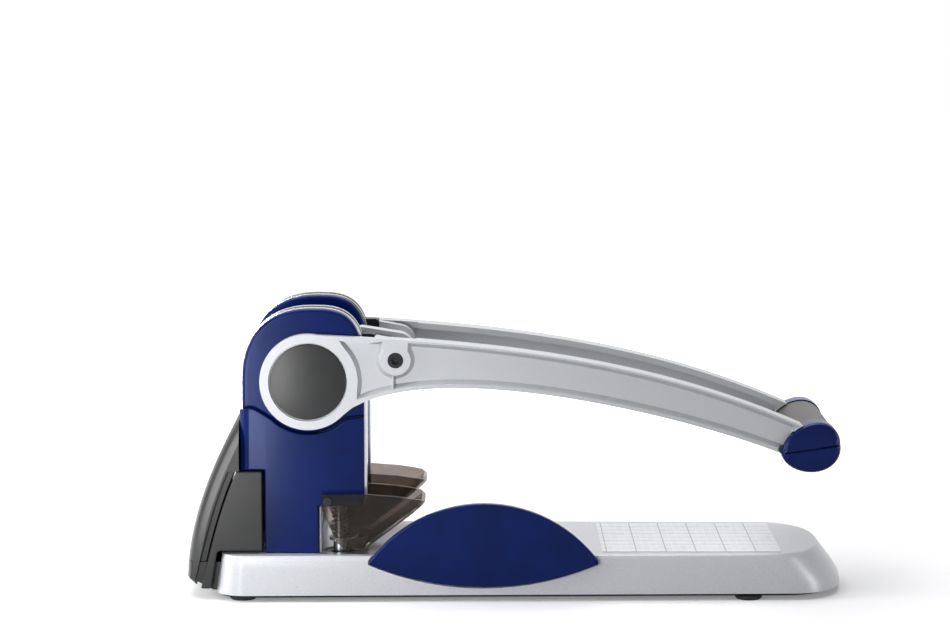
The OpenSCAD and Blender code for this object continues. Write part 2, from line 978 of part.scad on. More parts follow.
cap_face = arm_out + 3;
cap_in = cap_face - cap_l;
tube_end = web_out - web_t - 0.05;

module handle_tube() {
    color(silver)
        difference() {
            across(-tube_end, tube_end)
                intersection() {
                    egg(-cap_wall - 0.8);
                    seam_side(false, -4);
                }
            translate([handle_x, 0, handle_z])
                rod(rod_r + fit, -arm_out, arm_out);
        }
    color(silver)
        across(-cap_in + 0.3, cap_in - 0.3)
            difference() {
                intersection() {
                    egg(-0.8);
                    seam_side(false);
                }
                egg(-cap_wall - 0.8);
            }
}

module handle_grip() {
    color("#55524e")
        across(-cap_in + 0.3, cap_in - 0.3)
            difference() {
                intersection() {
                    egg(-0.8);
                    seam_side(true, 0);
                }
                intersection() {
                    egg(-cap_wall - 0.7);
                    seam_side(false, -4.1);
                }
            }
}

module handle_rod() {
    color(steel)
        translate([handle_x, 0, handle_z]) {
            rod(rod_r, -arm_out + 1, arm_out - 1);
            both_sides()
                rotate([90, 0, 0])
                    translate([0, 0, web_out + 0.05])
                        difference() {
                            cylinder(r = 7, h = 3.2, $fn = 6);
                            cylinder(r = rod_r - 0.5, h = 8, center = true);
                        }
        }
}

// Left-hand cap, one half of it: a hollow egg over the arm's tenon
module end_cap(upper) {
    color(blue)
        difference() {
            hull() {
                across(-cap_face + 3, -cap_in)
                    egg();
                across(-cap_face + 1.2, -cap_in - 1)
                    egg(-0.9);
                across(-cap_face, -cap_in - 2)
                    egg(-3.2);
            }
            across(-cap_face + 3, 0)
                egg(-cap_wall);
            across(-cap_face - 5, 5)
                seam_side(!upper, -0.15);
            translate([0, -web_out, 0])
                across(-0.3, web_t + 0.3)
                    neck_outline(0.4);
        }
}

// ---------- rams ----------

module ram() {
    teeth = ceil((travel + 9) / rack_step);
    half = PI * tooth_m / 4 - backlash;
    color(steel)
        difference() {
            union() {
                across(-sector_t / 2, sector_t / 2)
                    polygon([[ram_back, piston_z + 2], [ram_front, piston_z + 2],
                             [ram_front, ram_top - 5], [ram_front - 4, ram_top],
                             [ram_back, ram_top]]);
                across(-sector_t / 2, sector_t / 2)
                    intersection() {
                        for (k = [0 : teeth])
                            translate([punch_x, axle_z - (k - 0.5) * rack_step])
                                polygon([
                                    [dedendum + 0.1, -half - (dedendum + 0.1) * tan(20)],
                                    [dedendum + 0.1, half + (dedendum + 0.1) * tan(20)],
                                    [-addendum, half - addendum * tan(20)],
                                    [-addendum, -half + addendum * tan(20)]]);
                        translate([punch_x - 10, 0])
                            square([20, ram_top]);
                    }
                translate([punch_x, 0, piston_z])
                    cylinder(r = piston_r, h = piston_h);
            }
            translate([punch_x, 0, piston_z - 1])
                cylinder(r = hole_r + fit, h = 9);
        }
}

tip_z = deck_z - 1.5;

// Punch with a hollow-ground tip
module punch_pin() {
    color("#b9bcc2")
        translate([punch_x, 0, 0])
            rotate_extrude()
                polygon([[0, tip_z + 0.8], [hole_r, tip_z], [hole_r, piston_z + 7.9],
                         [0, piston_z + 7.9]]);
}

spring_r = 5;
wire_r = 0.5;
spring_turns = 15;
foot_top = deck_z + 9;

// A wire of radius w wound round a vertical axis
module coil(r, w, from, to, turns, sides = 6, steps = 12) {
    n = turns * steps;
    pts = [for (i = [0 : n]) for (k = [0 : sides - 1])
        let (a = 360 * i / steps, b = 360 * k / sides, q = r + w * cos(b))
        [q * cos(a), q * sin(a), from + (to - from) * i / n + w * sin(b)]];
    faces = concat(
        [[for (k = [0 : sides - 1]) k]],
        [[for (k = [sides - 1 : -1 : 0]) n * sides + k]],
        [for (i = [0 : n - 1]) for (k = [0 : sides - 1]) for (h = [0, 1])
            let (a = i * sides + k, b = i * sides + (k + 1) % sides)
            h == 0 ? [a, a + sides, b] : [b, a + sides, b + sides]]);
    polyhedron(pts, faces);
}

module spring() {
    color("#aeb2b8")
        translate([punch_x, 0, 0])
            coil(spring_r, wire_r, foot_top + wire_r + 0.1, piston_z - wire_r - 0.1, spring_turns);
}

// Presser foot: a sleeve round the punch with a turned-up lip towards the user
module presser() {
    lip = 12.5;
    color("#c2c5ca")
        difference() {
            union() {
                translate([punch_x, 0, deck_z + 0.3])
                    cylinder(r = 4.4, h = foot_top - deck_z - 0.3);
                translate([punch_x, 0, foot_top - 2])
                    cylinder(r = piston_r, h = 2);
                across(-sector_t / 2, sector_t / 2)
                    polygon(concat(
                        [[punch_x, foot_top - 1.2], [punch_x, foot_top]],
                        arc([punch_x + lip - 5, foot_top + 5], 5, -90, -30, 5),
                        arc([punch_x + lip - 5, foot_top + 5], 6.2, -30, -90, 5)));
            }
            translate([punch_x, 0, 0])
                cylinder(r = hole_r + fit, h = throat_z);
        }
}

// ---------- guards ----------

guard_x = leg_x + 6;
guard_z = throat_z + 4.5;
guard_pin_r = 2;
guard_tip = axle_x + 77.5;

module guard_pins() {
    color(steel)
        for (side = [-1, 1])
            on_head(side)
                both_sides()
                    translate([guard_x, 0, guard_z])
                        union() {
                            rod(guard_pin_r, head_w / 2 - skin, guard_w / 2 + 0.6);
                            rod(guard_pin_r + 1, guard_w / 2 + 0.2, guard_w / 2 + 1);
                        }
}

// Side view of a guard: low rounded heel, sloping front and a long flat top
guard_points = [[leg_x + 1.5, guard_z + 4.6], [front_x, guard_z + 5], [front_x + 21, guard_z + 3.4],
                [guard_tip - 3.5, guard_z + 0.9], [guard_tip, guard_z - 1.2],
                [guard_tip - 8, guard_z - 7.8], [front_x + 21, guard_z - 16.6],
                [front_x + 3, deck_z + 6.4], [front_x - 2.5, deck_z + 4.2],
                [punch_x + 4.5, deck_z + 4.6], [punch_x - 1, deck_z + 8.5],
                [leg_x + 2.5, throat_z - 1]];

// The same walls seen from above: square at the head, rounded at the tip
module guard_plan(inset) {
    r = 9 - inset;
    half = guard_w / 2 - inset;
    polygon(concat(
        [[leg_x - 20, -half]],
        arc([guard_tip - inset - r, r - half], r, -90, 0, 6),
        arc([guard_tip - inset - r, half - r], r, 0, 90, 6),
        [[leg_x - 20, half]]));
}

module guard() {
    color(smoke)
        difference() {
            intersection() {
                across(-guard_w / 2, guard_w / 2)
                    polygon(guard_points);
                translate([0, 0, deck_z])
                    linear_extrude(60)
                        guard_plan(0);
            }
            intersection() {
                across(-guard_w / 2 + guard_wall, guard_w / 2 - guard_wall)
                    polygon([[leg_x - 20, guard_z + 20], [guard_tip - 2, guard_z + 20],
                             [guard_tip - 2.4, guard_z - 1], [guard_tip - 9, guard_z - 6.6],
                             [front_x + 19.6, guard_z - 15.2], [front_x + 1.6, deck_z + 7.8],
                             [front_x - 4, deck_z - 5], [leg_x - 20, deck_z - 5]]);
                translate([0, 0, deck_z - 20])
                    linear_extrude(90)
                        guard_plan(guard_wall);
            }
            translate([guard_x, 0, guard_z])
                rod(guard_pin_r + fit, -guard_w, guard_w);
        }
}

// ---------- side guide ----------

guide_z = deck_z - 5.3;

module guide_outline(grow = 0) {
    half = guide_l / 2 + grow;
    up = guide_up + grow;
    down = guide_down + grow;
    up_r = (half * half + up * up) / (2 * up);
    down_r = (half * half + down * down) / (2 * down);
    up_a = asin(half / up_r);
    down_a = asin(half / down_r);
    blunt = half - 1.5;
    intersection() {
        polygon(concat(
            arc([guide_x, guide_z + up - up_r], up_r, 90 - up_a, 90 + up_a, 28),
            arc([guide_x, guide_z - down + down_r], down_r, 270.5 - down_a, 269.5 + down_a, 24)));
        translate([guide_x - blunt, 0])
            square([2 * blunt, 2 * deck_z + up]);
    }
}

module guide_plate() {
    color(blue)
        difference() {
            across(-guide_y, -guide_y + guide_t)
                guide_outline();
            across(-guide_y + 2, -guide_y + guide_t + 1)
                guide_outline(-4);
        }
    color(blue)
        across(-guide_y + 1, -guide_y + guide_t)
            intersection() {
                guide_outline(-2);
                translate([guide_x - tongue_w / 2, 0])
                    square([tongue_w, deck_z - 4]);
            }
}

module guide_tongue() {
    color(steel)
        difference() {
            translate([guide_x - tongue_w / 2, -guide_y + guide_t, tongue_z])
                cube([tongue_w, guide_travel + 20, tongue_t]);
            // lightening windows
            for (y = [-46, -14, 18])
                translate([guide_x - tongue_w / 2 + 12, y, tongue_z - 1])
                    cube([tongue_w - 24, 22, tongue_t + 2]);
        }
}

module guide_channel() {
    wall = 3;
    y0 = -bay_y + 1;
    color(black)
        difference() {
            translate([guide_x - tongue_w / 2 - wall - gap, y0, tongue_z - wall - gap])
                cube([tongue_w + 2 * (wall + gap), 72, bay_z - tongue_z + wall + gap]);
            translate([guide_x - tongue_w / 2 - gap, y0 - 1, tongue_z - gap])
                cube([tongue_w + 2 * gap, 80, tongue_t + 2 * gap]);
            translate([guide_x - tongue_w / 2 + 6, y0 - 1, tongue_z + 1])
                cube([tongue_w - 12, 80, bay_z - tongue_z - 1 + eps]);
            translate([guide_x - tongue_w / 2 + 8, y0 + 8, tongue_z - 10])
                cube([tongue_w - 16, 56, 12]);
        }
}

// ---------- chip tray ----------

module chip_tray() {
    wall = 1.6;
    x0 = rear_x + 4;
    color("#33343a")
        union() {
            difference() {
                union() {
                    across(-tray_w / 2 + gap, tray_w / 2 - gap)
                        polygon([[x0, tray_z + tray_h], [x0, tray_z + 7.5], [x0 + 14, tray_z],
                                 [tray_front, tray_z], [tray_front, tray_z + tray_h]]);
                    // rear face in line with the cover above it
                    intersection() {
                        rear_form();
                        translate([rear_x - 5, -tray_w / 2 + gap, 0])
                            cube([11.5, tray_w - 2 * gap, tray_z + tray_h]);
                    }
                }
                across(-tray_w / 2 + gap + wall, tray_w / 2 - gap - wall)
                    polygon([[x0 + 2.5, tray_z + tray_h + 1], [x0 + 2.5, tray_z + 8],
                             [x0 + 14.5, tray_z + wall], [tray_front - wall, tray_z + wall],
                             [tray_front - wall, tray_z + tray_h + 1]]);
                // finger hold in the rear wall
                translate([rear_x - 5, -14, tray_z + tray_h - 7])
                    cube([12, 28, 10]);
            }
            translate([x0, -14, tray_z + tray_h - 8.4])
                cube([8, 28, wall]);
        }
}

// ---------- assembly ----------

module swap(side) {
    if (side < 0)
        children();
    else
        mirror([0, 1, 0])
            children();
}

base_shell();
bottom_plate();
rubber_feet();
bottom_screws();
die_plate();
die_buttons();
back_stop();
label_plate();
on_head(-1) head_frame();  // head_frame_left
on_head(1) head_frame();  // head_frame_right
on_head(-1) head_strap();  // head_strap_left
on_head(1) head_strap();  // head_strap_right
on_head(-1) swap(1) upper_shell();  // upper_shell_left_outer
on_head(-1) upper_shell();  // upper_shell_left_inner
on_head(1) upper_shell();  // upper_shell_right_outer
on_head(1) swap(1) upper_shell();  // upper_shell_right_inner
on_head(-1) swap(1) lower_cover();  // lower_cover_left_outer
on_head(-1) lower_cover();  // lower_cover_left_inner
on_head(1) lower_cover();  // lower_cover_right_outer
on_head(1) swap(1) lower_cover();  // lower_cover_right_inner
on_head(-1) ram_barrel();  // ram_barrel_left
on_head(1) ram_barrel();  // ram_barrel_right
axle_bushes();
guard_pins();
rear_cover();
swap(1) side_panel();  // side_panel_left
side_panel();  // side_panel_right
guide_channel();
arm_form();  // arm_left
swap(1) arm_form();  // arm_right
hub_cap();  // hub_cap_left
swap(1) hub_cap();  // hub_cap_right
axle();
on_head(-1) drive_sector();  // drive_sector_left
on_head(1) drive_sector();  // drive_sector_right
bridge();
bridge_screws();
handle_tube();
handle_grip();
handle_rod();
end_cap(true);  // end_cap_left_upper
end_cap(false);  // end_cap_left_lower
swap(1) end_cap(true);  // end_cap_right_upper
swap(1) end_cap(false);  // end_cap_right_lower
on_head(-1) ram();  // ram_left
on_head(1) ram();  // ram_right
on_head(-1) punch_pin();  // punch_pin_left
on_head(1) punch_pin();  // punch_pin_right
on_head(-1) spring();  // spring_left
on_head(1) spring();  // spring_right
on_head(-1) presser();  // presser_left
on_head(1) presser();  // presser_right
on_head(-1) guard();  // guard_left
on_head(1) guard();  // guard_right
guide_plate();
guide_tongue();
chip_tray();
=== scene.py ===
import json
from math import pi, radians

import bmesh
import bpy
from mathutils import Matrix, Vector


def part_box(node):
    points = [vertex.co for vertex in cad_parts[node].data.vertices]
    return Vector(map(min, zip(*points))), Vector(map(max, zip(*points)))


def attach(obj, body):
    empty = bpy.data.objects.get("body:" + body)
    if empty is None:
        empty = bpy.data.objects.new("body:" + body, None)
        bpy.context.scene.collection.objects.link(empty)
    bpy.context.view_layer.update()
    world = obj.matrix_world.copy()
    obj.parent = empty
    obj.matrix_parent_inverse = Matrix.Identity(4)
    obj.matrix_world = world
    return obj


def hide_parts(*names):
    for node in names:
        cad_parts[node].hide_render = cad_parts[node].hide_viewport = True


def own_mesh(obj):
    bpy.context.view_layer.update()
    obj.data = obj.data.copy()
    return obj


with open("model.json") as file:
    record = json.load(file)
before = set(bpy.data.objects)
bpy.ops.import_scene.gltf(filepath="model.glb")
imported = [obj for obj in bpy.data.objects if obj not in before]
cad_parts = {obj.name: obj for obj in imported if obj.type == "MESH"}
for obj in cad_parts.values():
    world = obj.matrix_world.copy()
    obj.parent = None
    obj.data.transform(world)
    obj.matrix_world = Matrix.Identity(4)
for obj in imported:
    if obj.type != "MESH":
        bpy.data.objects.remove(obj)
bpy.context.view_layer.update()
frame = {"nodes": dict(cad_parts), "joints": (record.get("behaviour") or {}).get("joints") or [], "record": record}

mm = 0.001
nearly = 0.05  # mm, closer than this to a plane counts as lying on it
facing = 0.9   # cosine, a face turned this close to a direction faces it
record = frame["record"]
bodyOf = {node: body
          for body, nodes in record["behaviour"]["bodies"].items() for node in nodes}
slotOf = {part["node"]: part["material_slot"] for part in record["subparts"]}
jointOf = {joint["name"]: joint for joint in frame["joints"]}
sides = {"left": -1, "right": 1}  # left is the user's left, -Y
axleX, _, axleZ = [part / mm for part in jointOf["lever_hinge"]["pos_m"]]
print("frame loaded:", len(frame["nodes"]), "nodes")


# places taken from the CAD nodes

def spanOf(node, axis):  # lowest and highest place of a node along x, y or z, in mm
    return [corner["xyz".index(axis)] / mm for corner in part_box(node)]


def farSide(node, middle=0):  # y of the node's side that is farther from the middle
    return max(spanOf(node, "y"), key=lambda place: abs(place - middle))


# helpers for the materials

def linear(colour):  # sRGB hex to the linear values that the sockets want
    parts = [int(colour[i:i + 2], 16) / 255 for i in (1, 3, 5)]
    return [*[p / 12.92 if p < 0.0404 else ((p + 0.055) / 1.055) ** 2.4 for p in parts], 1]


def addNode(tree, kind, settings=None, links=None):  # sockets go by name, or number if twice
    node = tree.nodes.new("ShaderNode" + kind)
    for name, value in (settings or {}).items():
        if isinstance(name, str) and hasattr(node, name):
            setattr(node, name, value)
        else:
            node.inputs[name].default_value = value
    for name, source in (links or {}).items():
        tree.links.new(source, node.inputs[name])
    return node


def startMaterial(name, settings):
    material = bpy.data.materials.new(name)
    material.use_nodes = True
    tree = material.node_tree
    shader = tree.nodes["Principled BSDF"]
    for socket, value in settings.items():
        shader.inputs[socket].default_value = value
    place = addNode(tree, "TexCoord").outputs["Object"]
    return material, tree, shader, place


def noisePattern(tree, place, size, detail=2):  # size of one patch in mm
    noise = addNode(tree, "TexNoise", {"Scale": 1 / (size * mm), "Detail": detail},
                    {"Vector": place})
    return noise.outputs["Fac"]


def addGrain(tree, shader, place, finish):  # small bumps, grain and depth in mm
    noise = noisePattern(tree, place, finish["grain"], finish["detail"])
    bump = addNode(tree, "Bump", {"Strength": 1, "Distance": finish["depth"] * mm},
                   {"Height": noise})
    tree.links.new(bump.outputs["Normal"], shader.inputs["Normal"])
    return noise


def addTwoTone(tree, shader, factor, finish):  # the colour wanders between two close tones
    ramp = addNode(tree, "ValToRGB", {}, {"Fac": factor})
    tones = zip(ramp.color_ramp.elements, finish.get("spread", (0.35, 0.65)), ("dark", "light"))
    for stop, position, tone in tones:
        stop.position = position
        stop.color = linear(finish[tone])
    tree.links.new(ramp.outputs["Color"], shader.inputs["Base Color"])
    return ramp.outputs["Color"]


def addSurface(tree, shader, place, finish):  # grain, coloured by itself or by wide clouds
    factor = addGrain(tree, shader, place, finish)
    if "clouds" in finish:
        factor = noisePattern(tree, place, finish["clouds"])
    return addTwoTone(tree, shader, factor, finish)


# one material for each real finish; grain, depth and clouds in mm, and the finest grains
# are drawn a little coarser than real so that they show

def silverLacquer():
    # aluminium-flake lacquer, sprayed and clear-coated: fine sparkle, soft highlights
    finish = {"grain": 0.35, "depth": 0.012, "detail": 1, "dark": "#b9bbc0", "light": "#cfd1d6"}
    material, *inside = startMaterial("silverLacquer", {
        "Metallic": 0.2, "Roughness": 0.4, "Coat Weight": 0.12, "Coat Roughness": 0.2})
    addSurface(*inside, finish)
    return material


def paintedCasting():
    # powder paint on an aluminium die casting: fine even grain, half matt
    finish = {"grain": 0.5, "depth": 0.02, "detail": 2, "dark": "#abadb1", "light": "#c4c6ca"}
    material, *inside = startMaterial("paintedCasting", {"Metallic": 0.3, "Roughness": 0.46})
    addSurface(*inside, finish)
    return material


def blueAbs():
    # moulded ABS from a spark-eroded tool: deep navy, satin, with a fine even grain
    finish = {"grain": 0.4, "depth": 0.012, "detail": 2, "clouds": 30,
              "dark": "#02154d", "light": "#031a59"}
    material, *inside = startMaterial("blueAbs", {
        "Roughness": 0.23, "IOR": 1.5, "Specular IOR Level": 0.21,
        "Specular Tint": linear("#b9c6ec")})
    addSurface(*inside, finish)
    return material


def blackAbs():
    # moulded ABS with a leather-fine grain: charcoal black, dull satin
    finish = {"grain": 0.6, "depth": 0.02, "detail": 3, "clouds": 25,
              "dark": "#151617", "light": "#1d1e1f"}
    material, *inside = startMaterial("blackAbs", {
        "Roughness": 0.33, "IOR": 1.53, "Specular IOR Level": 0.3})
    addSurface(*inside, finish)
    return material


def smokePolycarbonate():
    # clear moulding with a smoke-brown tint: sharp gloss over slow flow waves, see-through
    finish = {"grain": 9, "depth": 0.02, "detail": 1, "spread": (0.3, 0.7),
              "dark": "#827871", "light": "#8d837c"}
    material, *inside = startMaterial("smokePolycarbonate", {
        "Roughness": 0.08, "IOR": 1.22, "Specular IOR Level": 0.5, "Transmission Weight": 0.98})
    addSurface(*inside, finish)
    return material


def groundSteel():
    # ground and polished steel: fine straight scratches, bright
    finish = {"grain": 0.25, "depth": 0.01, "detail": 2, "stretch": (1, 1, 0.04),
              "dark": "#8f9296", "light": "#c4c7cb"}
    material, tree, shader, place = startMaterial("groundSteel", {
        "Metallic": 1, "Roughness": 0.3})
    drawnOut = addNode(tree, "Mapping", {"Scale": finish["stretch"]}, {"Vector": place})
    addSurface(tree, shader, drawnOut.outputs["Vector"], finish)
    return material


def blackOxide():
    # steel blacked in a hot salt bath: deep grey-black with a dull metallic sheen
    finish = {"grain": 0.8, "depth": 0.01, "detail": 3, "dark": "#141416", "light": "#232427"}
    material, *inside = startMaterial("blackOxide", {"Metallic": 0.7, "Roughness": 0.4})
    addSurface(*inside, finish)
    return material


def sinteredBronze():
    # pressed bronze powder soaked in oil: dull gold-brown with open pores
    finish = {"grain": 0.3, "depth": 0.02, "detail": 3, "dark": "#6d4c26", "light": "#a5783d"}
    material, *inside = startMaterial("sinteredBronze", {"Metallic": 1, "Roughness": 0.45})
    addSurface(*inside, finish)
    return material


def hardenedSteel():
    # heat-treated steel with a fine ground skin: dark grey, half bright
    finish = {"grain": 0.4, "depth": 0.01, "detail": 2, "dark": "#3c3e42", "light": "#5a5d62"}
    material, *inside = startMaterial("hardenedSteel", {"Metallic": 1, "Roughness": 0.35})
    addSurface(*inside, finish)
    return material


def feetRubber():
    # moulded black rubber: matt, slightly dusty
    finish = {"grain": 0.5, "depth": 0.04, "detail": 3, "dark": "#161616", "light": "#232323"}
    material, *inside = startMaterial("feetRubber", {"Roughness": 0.85, "IOR": 1.52})
    addSurface(*inside, finish)
    return material


def gripRubber():
    # soft-touch rubber skin on the handle: warm dark grey with a velvety grain
    finish = {"grain": 0.5, "depth": 0.03, "detail": 3, "dark": "#34312f", "light": "#403d3a"}
    material, *inside = startMaterial("gripRubber", {
        "Roughness": 0.5, "IOR": 1.5, "Sheen Weight": 0.08, "Sheen Roughness": 0.5})
    addSurface(*inside, finish)
    return material


def phosphatedSteel():
    # steel plate inside the heads: dull dark grey with a fine grain, the dark grey being painted shade where the
    # joint gap between shell and cover shows it
    finish = {"grain": 0.5, "depth": 0.01, "detail": 3, "dark": "#2c2e31", "light": "#3e4144"}
    material, *inside = startMaterial("phosphatedSteel", {"Metallic": 0.8, "Roughness": 0.55})
    addSurface(*inside, finish)
    return material


def labelFilm():
    # white polyester film with a printed table: thin grey rules and rows of pale bars
    finish = {"grain": 1.2, "depth": 0.005, "detail": 2}
    table = {"column": 20.0, "row": 12.5, "rule": 0.35, "ruleColour": "#9ea3ae"}
    bar = {"width": 5.0, "height": 2.5, "gap": 0.55, "share": -0.45, "paper": "#e6e7eb",
           "gapPaper": "#ebecef", "ink": "#bcc0c9"}  # share: below 0, more paper than ink
    material, tree, shader, place = startMaterial("labelFilm", {
        "Roughness": 0.4, "IOR": 1.5, "Specular IOR Level": 0.25})
    addGrain(tree, shader, place, finish)
    even = {"offset": 0.0, "Scale": 1 / mm, "Mortar Smooth": 0.0}
    bars = addNode(tree, "TexBrick", {
        **even, "Brick Width": bar["width"], "Row Height": bar["height"],
        "Mortar Size": bar["gap"], "Bias": bar["share"], "Color1": linear(bar["paper"]),
        "Color2": linear(bar["ink"]), "Mortar": linear(bar["gapPaper"])}, {"Vector": place})
    printed = bars.outputs["Color"]
    rules = addNode(tree, "TexBrick", {
        **even, "Brick Width": table["column"], "Row Height": table["row"],
        "Mortar Size": table["rule"], "Mortar": linear(table["ruleColour"])},
        {"Vector": place, "Color1": printed, "Color2": printed})
    tree.links.new(rules.outputs["Color"], shader.inputs["Base Color"])
    return material


def polishedStrap():
    # bent steel strip, polished and lacquered: bright streaks and a small red paint dot
    finish = {"grain": 0.3, "depth": 0.006, "detail": 2, "dark": "#b9bbbf", "light": "#d4d6da"}
    dot = {"radius": 1.5, "height": 105.5, "paint": "#a3122a"}  # on the front of both straps
    (_, inner, _), (front, outer, _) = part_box("head_strap_right")
    material, tree, shader, place = startMaterial("polishedStrap", {
        "Metallic": 0.75, "Roughness": 0.22})
    steel = addSurface(tree, shader, place, finish)
    mirrored = addNode(tree, "VectorMath", {"operation": "ABSOLUTE"}, {0: place})
    away = addNode(tree, "VectorMath", {
        "operation": "DISTANCE", 1: (abs(front), (inner + outer) / 2, dot["height"] * mm)},
        {0: mirrored.outputs[0]})
    inside = addNode(tree, "Math", {"operation": "LESS_THAN", 1: dot["radius"] * mm},
                     {0: away.outputs["Value"]})
    colour = addNode(tree, "Mix", {"data_type": "RGBA", 7: linear(dot["paint"])},
                     {0: inside.outputs[0], 6: steel})  # 6 and 7 are its two colours
    tree.links.new(colour.outputs[2], shader.inputs["Base Color"])
    return material


finishes = {
    "silver_paint": silverLacquer(), "cast_aluminium": paintedCasting(),
    "blue_plastic": blueAbs(), "black_plastic": blackAbs(),
    "smoke_plastic": smokePolycarbonate(), "steel": groundSteel(),
    "black_steel": blackOxide(), "bronze": sinteredBronze(),
    "dark_die_steel": hardenedSteel(), "rubber": feetRubber(),
    "grip_rubber": gripRubber(), "label": labelFilm(),
}
shadeDarkFinish = phosphatedSteel()
# the frame plates and ram barrels inside the heads get the dark steel as painted shade, so that the joint gap
# shows dark
ownFinishes = {"head_strap": polishedStrap(), "head_frame": shadeDarkFinish,
               "ram_barrel": shadeDarkFinish}  # parts finished apart from their slot


def finishOf(node):
    return ownFinishes.get(node.rsplit("_", 1)[0]) or finishes[slotOf[node]]


print("materials made:", len({*finishes.values(), *ownFinishes.values()}))


# camera, floor, lamps and world; places in metres, angles in degrees

cameraSet = {"place": (-0.0339, -2.0026, 0.4286), "pitch": 6.974, "yaw": 0.171,
             "lens": 112.6, "sensor": 36}


def addCamera():
    tilt = (radians(90 - cameraSet["pitch"]), 0, -radians(cameraSet["yaw"]))
    bpy.ops.object.camera_add(location=cameraSet["place"], rotation=tilt)
    camera = bpy.context.object
    camera.data.lens = cameraSet["lens"]
    camera.data.sensor_width = cameraSet["sensor"]
    bpy.context.scene.camera = camera


def seenRays(tree):  # 1 for what is seen directly, mirrored or through something clear
    rays = addNode(tree, "LightPath").outputs
    direct = addNode(tree, "Math", {"operation": "MAXIMUM"},
                     {0: rays["Is Camera Ray"], 1: rays["Is Glossy Ray"]})
    seen = addNode(tree, "Math", {"operation": "MAXIMUM"},
                   {0: direct.outputs[0], 1: rays["Is Transmission Ray"]})
    return seen.outputs[0]


floorSet = {"size": 12.0, "albedo": "#e6e6e8",
            "bounce": "#8c8c8e",                     # what it throws back up at the object
            "glow": (0.2, 1.0), "reach": (0.28, 0.8)}  # fades to white away from the object


def addFloor():
    bpy.ops.mesh.primitive_plane_add(size=floorSet["size"], location=(0, 0, 0))
    floor = bpy.context.object
    floor.name = "floor"
    material = bpy.data.materials.new("palePaper")
    material.use_nodes = True
    tree = material.node_tree
    tree.nodes.clear()
    paper = addNode(tree, "BsdfDiffuse", {"Color": linear(floorSet["albedo"])})
    place = addNode(tree, "TexCoord").outputs["Object"]
    away = addNode(tree, "VectorMath", {"operation": "LENGTH"}, {0: place})
    rise = addNode(tree, "MapRange", {
        "interpolation_type": "SMOOTHSTEP",
        "From Min": floorSet["reach"][0], "From Max": floorSet["reach"][1],
        "To Min": floorSet["glow"][0], "To Max": floorSet["glow"][1]},
        {"Value": away.outputs["Value"]})
    glow = addNode(tree, "Emission", {}, {"Strength": rise.outputs[0]})
    lit = addNode(tree, "AddShader", {}, {0: paper.outputs[0], 1: glow.outputs[0]})
    dim = addNode(tree, "BsdfDiffuse", {"Color": linear(floorSet["bounce"])})
    mix = addNode(tree, "MixShader", {}, {0: seenRays(tree), 1: dim.outputs[0],
                                          2: lit.outputs[0]})
    addNode(tree, "OutputMaterial", {}, {"Surface": mix.outputs[0]})
    floor.data.materials.append(material)


lampSet = {  # the narrow key lamp makes the streak down the blue faces
    "key": {"place": (-0.282, -0.50, 0.125), "size": (0.05, 0.25), "power": 1.22,
            "aim": (-0.12, 0, 0.09)},
    "top": {"place": (-0.15, 0.2, 1.3), "size": (1.7, 1.3), "power": 22, "aim": (0, 0, 0.1)},
    "right": {"place": (0.95, -0.45, 0.2), "size": (0.2, 0.35), "power": 1.6,
              "aim": (0.2, 0, 0.03)},
    "rear": {"place": (-0.85, -0.2, 0.3), "size": (0.35, 0.5), "power": 6,
             "aim": (-0.2, 0, 0.08)},
}


def addLamps():
    for name, lamp in lampSet.items():
        bpy.ops.object.light_add(type="AREA", location=lamp["place"])
        light = bpy.context.object
        light.name = name + "Lamp"
        light.data.shape = "RECTANGLE"
        light.data.size, light.data.size_y = lamp["size"]
        light.data.energy = lamp["power"]
        light.visible_camera = False
        aim = Vector(lamp["aim"]) - light.location
        light.rotation_mode = "QUATERNION"
        light.rotation_quaternion = aim.to_track_quat("-Z", "Y")


worldSet = {"fill": 0.12, "backdrop": 1}  # a dim fill, behind it a plain white backdrop


def addWorld():
    world = bpy.data.worlds.new("studio")
    bpy.context.scene.world = world
    world.use_nodes = True
    tree = world.node_tree
    tree.nodes.clear()
    fill, white = [addNode(tree, "Background", {"Color": (1, 1, 1, 1), "Strength": strength})
                   for strength in (worldSet["fill"], worldSet["backdrop"])]
    mix = addNode(tree, "MixShader", {}, {0: seenRays(tree), 1: fill.outputs[0],
                                          2: white.outputs[0]})
    addNode(tree, "OutputWorld", {}, {"Surface": mix.outputs[0]})
    bpy.context.scene.view_settings.view_transform = "Standard"


addCamera()
addFloor()
addLamps()
addWorld()
print("stage set")


# pieces made from copies of the CAD nodes

shapedNodes = set()  # the nodes that a new piece stands for
copySet = {"merge": 0.01, "flat": 0.4}  # mm between doubles, degrees within one flat face


def deselectAll():
    if bpy.context.object and bpy.context.object.mode != "OBJECT":
        bpy.ops.object.mode_set(mode="OBJECT")
    bpy.ops.object.select_all(action="DESELECT")


def copyNode(node):  # a merged copy of a node's mesh, selected and in edit mode
    deselectAll()
    name = "".join(word.capitalize() for word in node.split("_"))
    piece = bpy.data.objects.new(name[0].lower() + name[1:], frame["nodes"][node].data.copy())
    bpy.context.collection.objects.link(piece)
    piece.select_set(True)
    bpy.context.view_layer.objects.active = piece
    bpy.ops.object.mode_set(mode="EDIT")
    bpy.ops.mesh.select_all(action="SELECT")
    bpy.ops.mesh.remove_doubles(threshold=copySet["merge"] * mm)
    bpy.ops.mesh.dissolve_limited(angle_limit=radians(copySet["flat"]))
    return piece


def applyModifier(piece, kind, settings):
    modifier = piece.modifiers.new(kind.title(), kind)
    for name, value in settings.items():
        setattr(modifier, name, value)
    bpy.ops.object.modifier_apply(modifier=modifier.name)


def dress(piece, node):  # material and body of the node that the piece stands for, whose own mesh is hidden
    piece.data.materials.clear()
    piece.data.materials.append(finishOf(node))
    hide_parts(node)
    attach(piece, bodyOf[node])
    shapedNodes.add(node)


